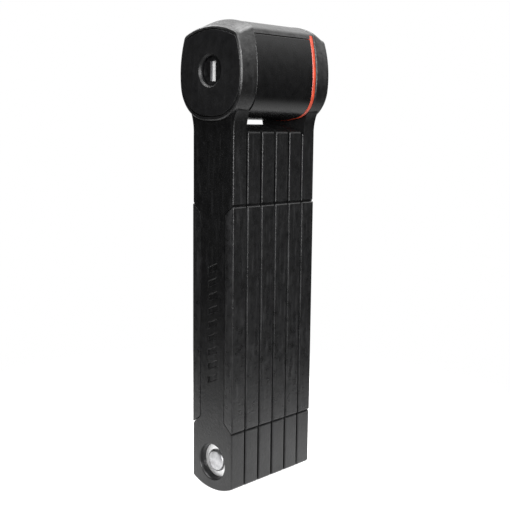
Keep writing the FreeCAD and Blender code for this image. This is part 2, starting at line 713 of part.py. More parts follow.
def drive_cam():
    """Rod on the plug's tail with two screw grooves that push and pull the bolt's followers."""
    solid = rod(CAM_R, PLUG_REAR_X, CAM_END_X, AXIS_Z)
    tongue = slot((TONGUE[0] - 0.1, TONGUE[1] - 0.1), TONGUE_X + 0.1, PLUG_REAR_X)
    grooves = []
    for start in (0.0, pi):
        for step in range(GROOVE_STEPS + 1):
            turn = pi * step / GROOVE_STEPS
            x = FOLLOWER_X + BOLT_TRAVEL * step / GROOVE_STEPS
            angle = start - turn
            outward = Vector(0, cos(angle), sin(angle))
            foot = Vector(x, 0, AXIS_Z) + outward * GROOVE_FLOOR_R
            grooves.append(Part.makeCylinder(FOLLOWER_R + 0.05, CAM_R, foot, outward))
    return tidy(solid.fuse(tongue).cut(grooves))


def bolt_section(radius, flat, x_from, x_to):
    """Round bar along X with a flat underneath."""
    lower = box((x_from - 1, x_to + 1), (-REACH, REACH), (AXIS_Z - REACH, AXIS_Z - flat))
    return rod(radius, x_from, x_to, AXIS_Z).cut(lower)


def locking_bolt():
    """Bolt, hollow behind for the cam, chamfered in front."""
    solid = bolt_section(BOLT_R, BOLT_FLAT, BOLT_REAR_X, BOLT_FRONT_X)
    nose = cone(BOLT_R, BOLT_R - 0.8, BOLT_FRONT_X - 0.8, BOLT_FRONT_X, AXIS_Z)
    solid = solid.common(rod(BOLT_R + 1, BOLT_REAR_X, BOLT_FRONT_X - 0.8, AXIS_Z).fuse(nose))
    cam_bore = rod(CAM_R + 0.1, BOLT_REAR_X - 1, CAM_END_X + 0.2, AXIS_Z)
    return tidy(solid.cut([cam_bore, follower_bar(FOLLOWER_R + FIXED_GAP, REACH)]))


def follower_bar(radius, half_length):
    start = Vector(FOLLOWER_X, -half_length, AXIS_Z)
    return Part.makeCylinder(radius, 2 * half_length, start, Vector(0, 1, 0))


def bolt_followers():
    """Two pins through the bolt's wall, with their tips in the cam's grooves."""
    tips = GROOVE_FLOOR_R + 0.15
    middle = box((-REACH, REACH), (-tips, tips), (0, 2 * AXIS_Z))
    return follower_bar(FOLLOWER_R, BOLT_R - 0.1).cut(middle)


def bolt_guide():
    """Hardened bush in the front of the case, with the bolt's flat in its bore."""
    bush = rod(GUIDE_R, GUIDE_X, CASE_FRONT_X - 0.1, AXIS_Z)
    return bush.cut(bolt_section(BOLT_R + 0.06, BOLT_FLAT + 0.06, GUIDE_X - 1, REACH))


def strike_bush():
    """Hardened cup in the end cap that the bolt enters."""
    cup = rod(STRIKE_R, CAP_IN_X + 0.1, FACE_X - PLATE_THICK - 0.1, AXIS_Z)
    lead = cone(BOLT_R + 1.0, BOLT_R + 0.2, CAP_IN_X + 0.1, CAP_IN_X + 0.9, AXIS_Z)
    hollow = rod(BOLT_R + 0.2, 0, BOLT_FRONT_X + BOLT_TRAVEL + 0.3, AXIS_Z)
    return cup.cut([hollow, lead])


def build():
    """Every node's shape, by name."""
    nodes = {}
    for link in range(1, LINK_COUNT + 1):
        guards = guard_pair()
        guards.translate(Vector(link_x(link), 0, 0))
        steel = core(link)
        nodes[f"link_{link}_core"] = steel
        nodes[f"link_{link}_coat"] = coat(link, steel, guards)
        nodes[f"link_{link}_edge_guards"] = guards
    for first in range(1, LINK_COUNT):
        pair = f"{first}_{first + 1}"
        nodes[f"spacer_{pair}"] = spacer(first)
        if 1 < first < LINK_COUNT - 1:
            nodes[f"rivet_{pair}"] = inner_rivet(first)
    nodes["rivet_1_2"] = outer_rivet()
    nodes["rivet_5_6"] = mirrored(outer_rivet())
    nodes["washer_link_1"] = outer_washer()
    nodes["washer_link_6"] = mirrored(outer_washer())
    nodes["key_face_plate"] = face_plate()
    nodes["end_cap_plate"] = end_plate()
    nodes["head_sleeve"] = head_sleeve()
    nodes["head_top_cover"] = top_cover()
    nodes["docking_ring"] = seal_ring()
    nodes["lock_case"] = lock_case()
    nodes["case_screws"] = case_screws()
    nodes["cylinder_barrel"] = barrel()
    nodes["barrel_pin"] = barrel_pin()
    nodes["key_plug"] = key_plug()
    nodes["plug_clip"] = plug_clip()
    nodes["tumbler_discs"] = tumbler_discs()
    nodes["sidebar"] = sidebar()
    nodes["keyway_shutter"] = keyway_shutter()
    nodes["shutter_pin"] = shutter_pin()
    nodes["shutter_spring"] = shutter_spring()
    nodes["drive_cam"] = drive_cam()
    nodes["locking_bolt"] = locking_bolt()
    nodes["bolt_followers"] = bolt_followers()
    nodes["bolt_guide"] = bolt_guide()
    nodes["strike_bush"] = strike_bush()
    return nodes


os.makedirs("parts", exist_ok=True)
for name, shape in build().items():
    if not shape.isValid():
        print("not valid:", name)
    shape.exportStep(f"parts/{name}.step")
    print(f"{name}: {len(shape.Solids)} solid(s), {shape.Volume / 1000:.2f} cm3")
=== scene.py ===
"""Looks of the folding bike lock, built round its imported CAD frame.

Outlines and places are in millimetres, in the CAD's frame. A finished piece is scaled to metres.
The six links are stacked along X, link 1 with the key side at -X. The lock stands on the links' lower ends.
"""
import json
from math import atan2, cos, hypot, pi, radians, sin, sqrt

import bmesh
import bpy
from mathutils import Matrix, Vector, noise


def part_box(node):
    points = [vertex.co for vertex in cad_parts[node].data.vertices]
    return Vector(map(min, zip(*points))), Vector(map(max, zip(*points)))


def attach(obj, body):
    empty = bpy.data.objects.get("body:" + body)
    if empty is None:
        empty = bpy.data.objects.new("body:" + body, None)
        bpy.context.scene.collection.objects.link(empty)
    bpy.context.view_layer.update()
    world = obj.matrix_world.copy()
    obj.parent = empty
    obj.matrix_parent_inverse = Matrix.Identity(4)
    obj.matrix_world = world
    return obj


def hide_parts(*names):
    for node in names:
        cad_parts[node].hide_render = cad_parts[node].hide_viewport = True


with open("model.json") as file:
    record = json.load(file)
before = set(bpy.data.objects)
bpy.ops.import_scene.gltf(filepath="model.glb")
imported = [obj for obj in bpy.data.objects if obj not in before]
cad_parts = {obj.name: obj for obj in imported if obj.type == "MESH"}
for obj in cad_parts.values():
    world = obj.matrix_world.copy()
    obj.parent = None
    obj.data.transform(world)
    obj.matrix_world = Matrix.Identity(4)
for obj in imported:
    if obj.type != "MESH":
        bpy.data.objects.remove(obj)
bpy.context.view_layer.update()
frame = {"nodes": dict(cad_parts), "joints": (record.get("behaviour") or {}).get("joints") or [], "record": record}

# ---- driving dimensions, mm ---------------------------------------------------------------
MM = 0.001
LINKS = range(1, 7)
JOINTS = {joint["name"]: joint for joint in frame["joints"]}
LINK_X = {n: sum(corner.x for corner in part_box(f"link_{n}_core")) / 2 / MM for n in LINKS}
LOW_PIVOT = JOINTS["link_2_hinge"]["pos_m"][2] / MM
HIGH_PIVOT = JOINTS["link_3_hinge"]["pos_m"][2] / MM
AXIS_Z = JOINTS["key_turn"]["pos_m"][2] / MM

COAT_HALF = 12.4        # half the width of a coated link
COAT_SKIN = 3.78        # half its thickness, 0.22 less than in the CAD: the gaps between links show dark
LONG_ROUND = 0.65       # rounding of a coat's long edges
LINK_TOP = 159.1
END_RISE = 3.2          # bulge of a link's round end
END_CORNER = 1.4
STEEL_HALF = 2.5        # half the thickness of the steel inside
SEAT_DEPTH = 2.6        # how far the outer washers sit in that steel
HIDDEN = 0.1            # how far a hidden cut or shank runs past the face that it meets
PAST = 1.0              # how far a cutting tool stands out of the solid that it cuts
FIT = 0.1               # room between a part and the hole or hollow that it sits in

GUARD_HALF = 12.65
GUARD_SKIN = 3.86       # half a guard's thickness, 0.14 less than in the CAD for the same reason
GUARD_INNER = 7.7
GUARD_RUN = 4.0         # height of a guard's slanted end
GUARD_WEB = 11.5        # half the width of the coat's web between a guard's cheeks
WEB_SHORT = 1.0         # how far that web stops short of the link's ends
GUARD_CHEEK = 1.1
GUARD_GROOVE = 0.34
GUARD_EDGE = 0.35
NOTCHES = (27.7, 125.6)
NOTCH_DEPTH = 1.1
NOTCH_HALF = 0.9
NOTCH_PAST = 0.5        # how far the wedge that cuts a notch stands out of the guard

SPACER_WELL_R = 8.4
HEAD_WELL_R = 6.4
WELL_CHAMFER = 0.3
RECESS_RIM_R = 8.1
RECESS_FLOOR_R = 7.5
RECESS_LIP = 0.3
LIP_CURVE = ((0.0, 0.8), (0.2, 0.25))   # (depth, width) of points on the lip, in parts of RECESS_LIP
RIVET_R = 4.0
SHANK_PLAY = 0.02       # how much less than RIVET_R the shank's radius is
SHANK_IN_HEAD = 0.5     # how far the shank runs into the outer head
WASHER_THICK = 0.6
WASHER_EDGE = 0.15
WASHER_PLAY = 0.05
OUTER_HEAD_R = 4.9
OUTER_HEAD_HIGH = 1.3
OUTER_HEAD_WOBBLE = 0.16
RAISED_MIDDLE = ((0.02, 0.4), (0.02, 1.7), (0.0, 2.6))      # (height over the outer head's top, radius)
PEEN_DEEP = 1.08        # the outer head's rounding, along the rivet
PEEN_WIDE = 1.1         # and across it
PEEN_ANGLES = (10, 30, 50, 70, 90)
INNER_HEAD_R = 6.0
INNER_HEAD_HIGH = 1.2
INNER_HEAD_EDGE = 0.3
INNER_HEAD_GAP = 0.05   # between the buried head and the steel under it

MARK_COUNT = 9
MARK_LOW_Z = 48.0
MARK_PITCH = 6.0
MARK_HALF = 2.7
MARK_BAR = 2.2
MARK_SLANT = 2.4
MARK_DEPTH = 0.5
MARK_DRAFT = 0.4        # lean of a bar's long walls
MARK_END_DRAFT = 0.12   # and of its end walls

# head outlines: half width, top corner (y, z), crest, bottom, and the radii of haunch and top corner
MID_Z = 179.4
BELLY_R = 50.0
BODY = (19.1, (16.4, 197.4), 201.6, 161.0, 11.0, 2.0)
BLOCK_INNER = (19.3, (16.5, 197.8), 201.7, 161.0, 13.5, 2.6)
BLOCK_OUTER = (18.85, (15.9, 195.2), 198.8, 160.2, 15.5, 2.6)
PLATE = (17.85, (15.15, 193.5), 197.1, 162.1, 15.0, 2.4)
BLOCK_IN_X = 18.4
BLOCK_EDGE = 0.3        # chamfer of the block's inner edge
BLOCK_SWELL = 0.8       # power of the curve by which a block grows from its outer to its inner section
BLOCK_STEPS = 6
FACE_X = 26.9
RIM = ((0.0, 0.6), (0.5, 0.1), (1.9, 0.0))  # (distance in, inset) of a block's outer rim, a fading chamfer
CAP_ROUND = 1.1         # rounding of the end cap's inner edge
CAP_ROUND_STEPS = 5
ARM_IN_X = 17.3
CAP_IN_X = 17.9
UNDER_RING_Z = 155.0    # above this the arm under the cap steps back, clear of the ring
ARM_TOP_Z = 176.0
ARM_BESIDE_BODY = 4.0   # how far above the body's bottom the arm of link 1 still stands beside it
ARM_CUT = 30.0          # half the width of a block that cuts across an arm
FLARE = ((12.4, 154.6), (12.9, 160.2), (14.5, 164.7))
PLATE_THICK = 1.5
PLATE_GROOVE = 0.32
PLATE_EDGE = 0.4
SLEEVE_THICK = 1.6
SLEEVE_PLAY = 0.01      # how much less than that the walls of the sleeve and the cover are
SLEEVE_END_X = 15.6
SLEEVE_EDGE = 0.15
COVER_EDGE = 0.2
RING_GAP = 0.02         # between the sleeve and the ring
RING_END_X = 17.6
RING_EXTRA = 0.3        # how much thicker than the sleeve the ring is
RING_PROUD = 0.15
RING_ROUND = 0.7
RING_TOP_Z = 196.8      # the ring ends here, under a tongue of the top cover
TONGUE_GAP = 0.1        # between the ring's end and that tongue
SEAM_Z = 195.0
SEAM_GAP = 0.4
SEAM_SHARP = 60         # degrees, edges of the sleeve and the cover sharper than this are rounded
WIDE = 40.0             # half the size of a block that cuts across the whole head
BELOW_HEAD, ABOVE_HEAD = 100.0, 220.0       # heights well clear of the head
KEYHOLE_R = 6.1
KEYHOLE_CHAMFER = 0.75
SPIGOT_R = 11.5
STRIKE_R = 9.4

ARC_STEPS = 14
CORNER_STEPS = 8
ROUND_TURN = 96         # sides of a turned shape
WOBBLE_SCALE = 1.3      # how fast a less than true radius changes round the turn
MERGE = 1e-4            # mm, points nearer to each other than this become one
SHARP = 35              # degrees, edges sharper than this are shaded sharp


# ---- outlines: lists of (y, z), counter-clockwise seen from +X ------------------------------
def arc(centre, radius, start, end, steps=ARC_STEPS):
    """Points along an arc, both ends included. Angles in radians from +Y."""
    turns = [start + (end - start) * step / steps for step in range(steps + 1)]
    return [(centre[0] + radius * cos(turn), centre[1] + radius * sin(turn)) for turn in turns]


def direction(start, end):
    return atan2(end[1] - start[1], end[0] - start[0])


def meeting(centre_a, radius_a, centre_b, radius_b):
    """Where two circles cross, on the side with the larger y."""
    dy, dz = centre_b[0] - centre_a[0], centre_b[1] - centre_a[1]
    apart = hypot(dy, dz)
    along = (radius_a ** 2 - radius_b ** 2 + apart ** 2) / (2 * apart)
    off = sqrt(radius_a ** 2 - along ** 2)
    crossings = []
    for side in (-1, 1):
        y = centre_a[0] + (along * dy - side * off * dz) / apart
        crossings.append((y, centre_a[1] + (along * dz + side * off * dy) / apart))
    return max(crossings)


def circle_through(a, b, c):
    """Centre and radius of the circle through three points."""
    d = 2 * (a[0] * (b[1] - c[1]) + b[0] * (c[1] - a[1]) + c[0] * (a[1] - b[1]))
    squares = [p[0] ** 2 + p[1] ** 2 for p in (a, b, c)]
    y = (squares[0] * (b[1] - c[1]) + squares[1] * (c[1] - a[1]) + squares[2] * (a[1] - b[1])) / d
    z = (squares[0] * (c[0] - b[0]) + squares[1] * (a[0] - c[0]) + squares[2] * (b[0] - a[0])) / d
    return (y, z), hypot(a[0] - y, a[1] - z)


def both_sides(half):
    """Closes an outline that runs from its lowest to its highest point on the +Y side."""
    return half + [(-y, z) for y, z in reversed(half[1:-1])]


def end_arcs(half, low, inset):
    """Lower end of a bar, from its middle to the top of its +Y corner."""
    end_r = (COAT_HALF ** 2 + END_RISE ** 2) / (2 * END_RISE)
    corner_y = half - END_CORNER
    drop = sqrt((end_r - END_CORNER) ** 2 - corner_y ** 2)
    centre = (0.0, low + end_r)
    corner = (corner_y, low + end_r - drop)
    lean = atan2(corner_y, drop)
    points = arc(centre, end_r - inset, -pi / 2, lean - pi / 2)
    return points + arc(corner, END_CORNER - inset, lean - pi / 2, 0.0, CORNER_STEPS)[1:]


def bar_outline(inset, half=COAT_HALF):
    """An inner link: straight sides between two shallow round ends."""
    lower = end_arcs(half, 0.0, inset)
    upper = [(y, LINK_TOP - z) for y, z in reversed(lower)]
    return both_sides(lower + upper)


def arm_outline(inset):
    """An end link's arm, widening in a hollow curve up to the head."""
    centre, radius = circle_through(*FLARE)
    start = direction(centre, FLARE[0]) % (2 * pi)
    flare = arc(centre, radius + inset, start, direction(centre, FLARE[2]) % (2 * pi))
    top = [(flare[-1][0], ARM_TOP_Z), (0.0, ARM_TOP_Z)]
    return both_sides(end_arcs(COAT_HALF, 0.0, inset) + flare + top)


def head_outline(shape, inset=0.0):
    """The head's section: belly, haunches, bulging sides, small top corners and a low crown."""
    half, corner, crest, bottom, haunch_r, corner_r = shape
    side_r = ((half - corner[0]) ** 2 + (corner[1] - MID_Z) ** 2) / (2 * (half - corner[0]))
    rise = crest - corner[1]
    crown_r = (corner[0] ** 2 + rise ** 2) / (2 * rise)
    side_c = (half - side_r, MID_Z)
    crown_c = (0.0, crest - crown_r)
    belly_c = (0.0, bottom + BELLY_R)
    haunch_c = meeting(side_c, side_r - haunch_r, belly_c, BELLY_R - haunch_r)
    corner_c = meeting(side_c, side_r - corner_r, crown_c, crown_r - corner_r)
    belly_end, haunch_end = direction(belly_c, haunch_c), direction(side_c, haunch_c)
    side_end, corner_end = direction(side_c, corner_c), direction(crown_c, corner_c)
    points = arc(belly_c, BELLY_R - inset, -pi / 2, belly_end)
    points += arc(haunch_c, haunch_r - inset, belly_end, haunch_end)[1:]
    points += arc(side_c, side_r - inset, haunch_end, side_end)[1:]
    points += arc(corner_c, corner_r - inset, side_end, corner_end, CORNER_STEPS)[1:]
    points += arc(crown_c, crown_r - inset, corner_end, pi / 2)[1:]
    return both_sides(points)


def between(outline_a, outline_b, share):
    """The outline part of the way from one to another of as many points."""
    return [(ya + (yb - ya) * share, za + (zb - za) * share)
            for (ya, za), (yb, zb) in zip(outline_a, outline_b)]


# ---- solids in millimetres ----------------------------------------------------------------
def mesh_from(rings, closed=False):
    """Solid through rings of equally many points. A closed one joins its last ring to its first."""
    bm = bmesh.new()
    loops = [[bm.verts.new(point) for point in ring] for ring in rings]
    following = loops[1:] + loops[:1] if closed else loops[1:]
    for loop, other in zip(loops, following):
        for i, vert in enumerate(loop):
            j = (i + 1) % len(loop)
            bm.faces.new((vert, loop[j], other[j], other[i]))
    if not closed:
        bm.faces.new(list(reversed(loops[0])))
        bm.faces.new(loops[-1])
    bmesh.ops.recalc_face_normals(bm, faces=bm.faces)
    mesh = bpy.data.meshes.new("solid")
    bm.to_mesh(mesh)
    bm.free()
    return mesh


def ring_at(x, outline):
    return [(x, y, z) for y, z in outline]


def rounding(radius, steps=4):
    """(distance in, inset) pairs that round a rim, from the face to the side."""
    if not radius:
        return [(0.0, 0.0)]
    turns = [pi / 2 * step / steps for step in range(steps + 1)]
    return [(radius * (1 - cos(turn)), radius * (1 - sin(turn))) for turn in turns]


def prism(outline, x_from, x_to, round_from=0.0, round_to=0.0):
    """An outline, given as a function of its inset, drawn out along X between rounded rims."""
    rings = [ring_at(x_from + run, outline(inset)) for run, inset in rounding(round_from)]
    rings += [ring_at(x_to - run, outline(inset)) for run, inset in reversed(rounding(round_to))]
    return mesh_from(rings)


def flat_prism(points, x_from, x_to):
    return mesh_from([ring_at(x_from, points), ring_at(x_to, points)])


def block(x_span, y_span, z_span):
    (left, right), (low, high) = y_span, z_span
    return flat_prism([(left, low), (right, low), (right, high), (left, high)], *x_span)


def layer(low, high, x_from=-WIDE):
    """Block across the whole head between two heights, from x_from on."""
    return block((x_from, WIDE), (-WIDE, WIDE), (low, high))


def turned(profile, z, closed=False, wobble=0.0):
    """Solid of revolution about X at height z, through (x, radius) points, out of true by up to wobble."""
    rings = []
    for x, radius in profile:
        ring = []
        for step in range(ROUND_TURN):
            turn = 2 * pi * step / ROUND_TURN
            y, height = cos(turn), sin(turn)
            spot = Vector((y * WOBBLE_SCALE, height * WOBBLE_SCALE, x))
            drift = noise.noise(spot) * wobble if wobble else 0.0
            ring.append((x + drift, (radius + drift) * y, z + (radius + drift) * height))
        rings.append(ring)
    return mesh_from(rings, closed)


def joined(*meshes):
    """Several separate solids in one mesh."""
    bm = bmesh.new()
    for mesh in meshes:
        bm.from_mesh(mesh)
    whole = bpy.data.meshes.new("solid")
    bm.to_mesh(whole)
    bm.free()
    return whole


def flipped(mesh):
    """The same solid mirrored to the other side of the stack."""
    copy = mesh.copy()
    copy.transform(Matrix.Scale(-1, 4, Vector((1, 0, 0))))
    copy.flip_normals()
    return copy


def moved(mesh, x):
    copy = mesh.copy()
    copy.transform(Matrix.Translation((x, 0, 0)))
    return copy


def with_modifier(mesh, kind, **settings):
    """The mesh after one modifier."""
    holder = bpy.data.objects.new("holder", mesh)
    bpy.context.scene.collection.objects.link(holder)
    modifier = holder.modifiers.new("step", kind)
    for name, value in settings.items():
        setattr(modifier, name, value)
    bpy.context.view_layer.update()
    result = bpy.data.meshes.new_from_object(holder.evaluated_get(bpy.context.evaluated_depsgraph_get()))
    bpy.data.objects.remove(holder)
    return result


def combined(mesh, tools, operation):
    for tool in tools:
        cutter = bpy.data.objects.new("cutter", tool)
        bpy.context.scene.collection.objects.link(cutter)
        mesh = with_modifier(mesh, "BOOLEAN", object=cutter, operation=operation, solver="EXACT")
        bpy.data.objects.remove(cutter)
    return mesh


def cut(mesh, *tools):
    return combined(mesh, tools, "DIFFERENCE")


def fused(mesh, *tools):
    return combined(mesh, tools, "UNION")


def shared(mesh, *tools):
    return combined(mesh, tools, "INTERSECT")


def edged(mesh, width, angle=50):
    """Rounds the edges of a mesh that are sharper than an angle in degrees."""
    return with_modifier(mesh, "BEVEL", width=width, segments=2, limit_method="ANGLE",
                         angle_limit=radians(angle), use_clamp_overlap=True, miter_outer="MITER_ARC")


def piece(name, mesh, material, body, nodes):
    """Finishes a piece, in metres and smooth but for sharp edges. It rides its body for its CAD nodes."""
    bm = bmesh.new()
    bm.from_mesh(mesh)
    bmesh.ops.remove_doubles(bm, verts=bm.verts, dist=MERGE)
    bmesh.ops.dissolve_degenerate(bm, dist=MERGE, edges=bm.edges)
    bmesh.ops.scale(bm, vec=(MM, MM, MM), verts=bm.verts)
    finished = bpy.data.meshes.new(name)
    bm.to_mesh(finished)
    bm.free()
    for polygon in finished.polygons:
        polygon.use_smooth = True
        polygon.material_index = 0
    finished.set_sharp_from_angle(angle=radians(SHARP))
    finished.materials.append(material)
    thing = bpy.data.objects.new(name, finished)
    bpy.context.scene.collection.objects.link(thing)
    smooth = thing.modifiers.new("smooth", "WEIGHTED_NORMAL")
    smooth.keep_sharp = True
    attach(thing, body)
    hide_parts(*nodes)


# ---- materials ----------------------------------------------------------------------------
NOISE_ROUGH = 0.55
HEAD_SHEEN_HEIGHTS = (0.168, 0.194)    # m, heights between which the painted sheen on the head grows: paler patches standing in for light from above
COAT_BLACK = (0.004, 0.004, 0.0042)
GUARD_BLACK = (0.005, 0.005, 0.0052)
SLEEVE_BLACK = (0.003, 0.003, 0.0032)
FACE_BLACK = (0.004, 0.004, 0.0044)
WORN_BLACK = (0.028, 0.028, 0.029)
WORN_SLEEVE = (0.012, 0.012, 0.0125)
# painted sheen: the paler colour painted on the head's upper part in place of light from above
PAINTED_SHEEN_BLACK = (0.034, 0.034, 0.034)
RING_RED = (0.46, 0.055, 0.025)
WORN_RED = (0.6, 0.12, 0.07)


class Surface:
    """A node material under construction, with object coordinates in metres."""

    def __init__(self, name, metallic=0.0):
        self.material = bpy.data.materials.new(name)
        self.material.use_nodes = True
        self.nodes = self.material.node_tree.nodes
        self.shader = self.nodes["Principled BSDF"]
        self.shader.inputs["Metallic"].default_value = metallic
        self.place = self.nodes.new("ShaderNodeTexCoord").outputs["Object"]
        self.normal = None

    def link(self, source, target):
        self.material.node_tree.links.new(source, target)

    def stretched(self, scale):
        mapping = self.nodes.new("ShaderNodeMapping")
        mapping.inputs["Scale"].default_value = scale
        self.link(self.place, mapping.inputs["Vector"])
        return mapping.outputs["Vector"]

    def noise(self, scale, detail=3.0, place=None):
        """Noise from 0 to 1 with features of about 1 / scale metres."""
        node = self.nodes.new("ShaderNodeTexNoise")
        node.inputs["Scale"].default_value = scale
        node.inputs["Detail"].default_value = detail
        node.inputs["Roughness"].default_value = NOISE_ROUGH
        self.link(place or self.place, node.inputs["Vector"])
        return node.outputs["Fac"]

    def ranged(self, value, low, high, to_low, to_high, kind="LINEAR"):
        node = self.nodes.new("ShaderNodeMapRange")
        node.interpolation_type = kind
        for name, number in (("From Min", low), ("From Max", high), ("To Min", to_low), ("To Max", to_high)):
            node.inputs[name].default_value = number
        self.link(value, node.inputs["Value"])
        return node.outputs["Result"]

    def math(self, operation, a, b):
        node = self.nodes.new("ShaderNodeMath")
        node.operation = operation
        self.link(a, node.inputs[0])
        self.link(b, node.inputs[1])
        return node.outputs["Value"]

    def product(self, a, b):
        return self.math("MULTIPLY", a, b)

    def total(self, a, b):
        return self.math("ADD", a, b)

    def ramp(self, value, stops):
        """Colour by value, through (position, (r, g, b)) stops."""
        node = self.nodes.new("ShaderNodeValToRGB")
        elements = node.color_ramp.elements
        while len(elements) < len(stops):
            elements.new(0.5)
        for element, (position, colour) in zip(elements, stops):
            element.position = position
            element.color = (*colour, 1)
        self.link(value, node.inputs["Fac"])
        return node.outputs["Color"]

    def mixed(self, share, colour_a, colour_b):
        """colour_a where share is 0, colour_b where it is 1. colour_b may be a plain colour."""
        node = self.nodes.new("ShaderNodeMix")
        node.data_type = "RGBA"
        self.link(share, node.inputs["Factor"])
        self.link(colour_a, node.inputs["A"])
        if isinstance(colour_b, tuple):
            node.inputs["B"].default_value = (*colour_b, 1)
        else:
            self.link(colour_b, node.inputs["B"])
        return node.outputs["Result"]

    def height(self, low, high):
        """0 below one height and 1 above another."""
        split = self.nodes.new("ShaderNodeSeparateXYZ")
        self.link(self.place, split.inputs["Vector"])
        return self.ranged(split.outputs["Z"], low, high, 0.0, 1.0, "SMOOTHSTEP")

    def edges(self, low, high):
        """1 on convex edges and 0 on flats."""
        geometry = self.nodes.new("ShaderNodeNewGeometry")
        return self.ranged(geometry.outputs["Pointiness"], low, high, 0.0, 1.0)

    def colour(self, source):
        self.link(source, self.shader.inputs["Base Color"])

    def roughness(self, source):
        self.link(source, self.shader.inputs["Roughness"])

    def bump(self, height, depth, strength=1.0):
        """Adds relief, depth metres high."""
        node = self.nodes.new("ShaderNodeBump")
        node.inputs["Strength"].default_value = strength
        node.inputs["Distance"].default_value = depth
        self.link(height, node.inputs["Height"])
        if self.normal:
            self.link(self.normal, node.inputs["Normal"])
        self.normal = node.outputs["Normal"]
        self.link(self.normal, self.shader.inputs["Normal"])


def shades(colour, low, high):
    """Darker and lighter versions of a colour."""
    return [tuple(channel * factor for channel in colour) for factor in (low, high)]


def moulded(name, colour, rough, grain, relief, worn,
            spread=0.06, dust=0.4, scuffed=0.03, sheen_roughness=0.0, ior=1.5):
    """Moulded plastic: mottled, finely grained, dusted with specks, scuffed along Z, and paler on worn edges.
    Over the head's upper part it is painted paler in patches, a painted sheen standing in for light from above,
    and it is also rougher there by the argument that turns that sheen on. The roughness varies by spread from
    patch to patch, and by scuffed along the scuffs."""
    surface = Surface(name)
    dark, light = shades(colour, 0.6, 1.5)
    base = surface.ramp(surface.noise(260, 4), [(0.3, dark), (0.7, light)])
    scuffs = surface.noise(700, 3, place=surface.stretched((1, 1, 0.1)))
    base = surface.mixed(surface.ranged(scuffs, 0.56, 0.78, 0.0, dust), base, worn)
    base = surface.mixed(surface.ranged(surface.noise(1500, 1), 0.62, 0.78, 0.0, dust), base, worn)
    uneven = surface.ranged(surface.noise(420, 4), 0.35, 0.65, 0.2, 1.0)
    base = surface.mixed(surface.product(surface.edges(0.53, 0.62), uneven), base, worn)
    # painted sheen: the head's upper part is painted paler in patches, standing in for light from above
    if sheen_roughness:
        patches = surface.ranged(surface.noise(380, 4), 0.3, 0.7, 0.2, 1.0)
        painted_sheen_mask = surface.product(surface.height(*HEAD_SHEEN_HEIGHTS), patches)
        base = surface.mixed(painted_sheen_mask, base, PAINTED_SHEEN_BLACK)
    surface.colour(base)
    mottle = surface.ranged(surface.noise(320, 4), 0.3, 0.7, rough - spread, rough + spread)
    rough_field = surface.total(mottle, surface.ranged(scuffs, 0.4, 0.7, -scuffed, scuffed))
    if sheen_roughness:
        rough_field = surface.total(rough_field, surface.ranged(painted_sheen_mask, 0.0, 1.0, 0.0, sheen_roughness))
    surface.roughness(rough_field)
    surface.bump(surface.noise(grain, 2), relief)
    surface.bump(surface.noise(grain / 4, 3), relief * 4, 0.8)
    surface.shader.inputs["IOR"].default_value = ior
    return surface.material


def metal(name, colour, rough, scale, relief, stretch=(1, 1, 1), tarnish=0.8, metallic=1.0):
    """Metal with drawn or turned marks and uneven tarnish."""
    surface = Surface(name, metallic)
    dark, light = shades(colour, tarnish, 1.0)
    surface.colour(surface.ramp(surface.noise(300, 5), [(0.3, dark), (0.65, light)]))
    surface.roughness(surface.ranged(surface.noise(900, 4), 0.3, 0.7, rough * 0.75, rough * 1.3))
    surface.bump(surface.noise(scale, 3, place=surface.stretched(stretch)), relief)
    return surface.material


FINISH = {
    # the coat plastic carries the painted sheen over the head's upper part
    "coat_plastic": moulded("coat_plastic", COAT_BLACK, 0.36, 3200, 3e-5, WORN_BLACK, sheen_roughness=0.1, ior=1.45),
    "guard_plastic": moulded("guard_plastic", GUARD_BLACK, 0.36, 2800, 3e-5, WORN_BLACK,
                             spread=0.08, dust=0.5, scuffed=0.06),
    "sleeve_gloss": moulded("sleeve_gloss", SLEEVE_BLACK, 0.28, 5200, 2e-6, WORN_SLEEVE,
                            spread=0.04, dust=0.05, scuffed=0.01),
    "face_plastic": moulded("face_plastic", FACE_BLACK, 0.46, 4200, 1.6e-5, WORN_BLACK,
                            spread=0.05, dust=0.2, scuffed=0.0),
    "ring_red": moulded("ring_red", RING_RED, 0.34, 5200, 6e-6, WORN_RED, spread=0.05, dust=0.3),
    "core_steel": metal("core_steel", (0.42, 0.42, 0.43), 0.38, 1500, 6e-6, (1, 6, 0.4)),
    "rivet_steel": metal("rivet_steel", (0.52, 0.52, 0.53), 0.4, 1600, 1.4e-5, tarnish=0.6),
    "washer_zinc": metal("washer_zinc", (0.85, 0.85, 0.85), 0.42, 1600, 1e-5, metallic=0.8),
    "case_steel": metal("case_steel", (0.5, 0.49, 0.47), 0.42, 2400, 1e-5),
    "bolt_steel": metal("bolt_steel", (0.9, 0.9, 0.9), 0.45, 1800, 4e-6, (5, 1, 1), metallic=0.2),
    "cylinder_brass": metal("cylinder_brass", (0.6, 0.44, 0.2), 0.34, 2000, 5e-6),
    "plug_dark": metal("plug_dark", (0.1, 0.1, 0.105), 0.4, 2600, 6e-6),
}


# ---- links --------------------------------------------------------------------------------
def body_of_link(number):
    return "lock_head" if number == 1 else f"link_{number}"


def guard_corners(side, grow=0.0):
    """Slant-ended outline of a guard, running on past the narrow face."""
    reach = GUARD_HALF + PAST
    slope = GUARD_RUN / (GUARD_HALF - GUARD_INNER)
    rise = grow * sqrt(1 + slope ** 2)
    inner = GUARD_INNER - grow
    low, high = NOTCHES
    low_inner = low + slope * (GUARD_HALF - inner) - rise
    low_outer = low - slope * (reach - GUARD_HALF) - rise
    high_inner = high - slope * (GUARD_HALF - inner) + rise
    high_outer = high + slope * (reach - GUARD_HALF) + rise
    corners = [(inner, low_inner), (reach, low_outer), (reach, high_outer), (inner, high_inner)]
    return [(side * y, z) for y, z in corners]


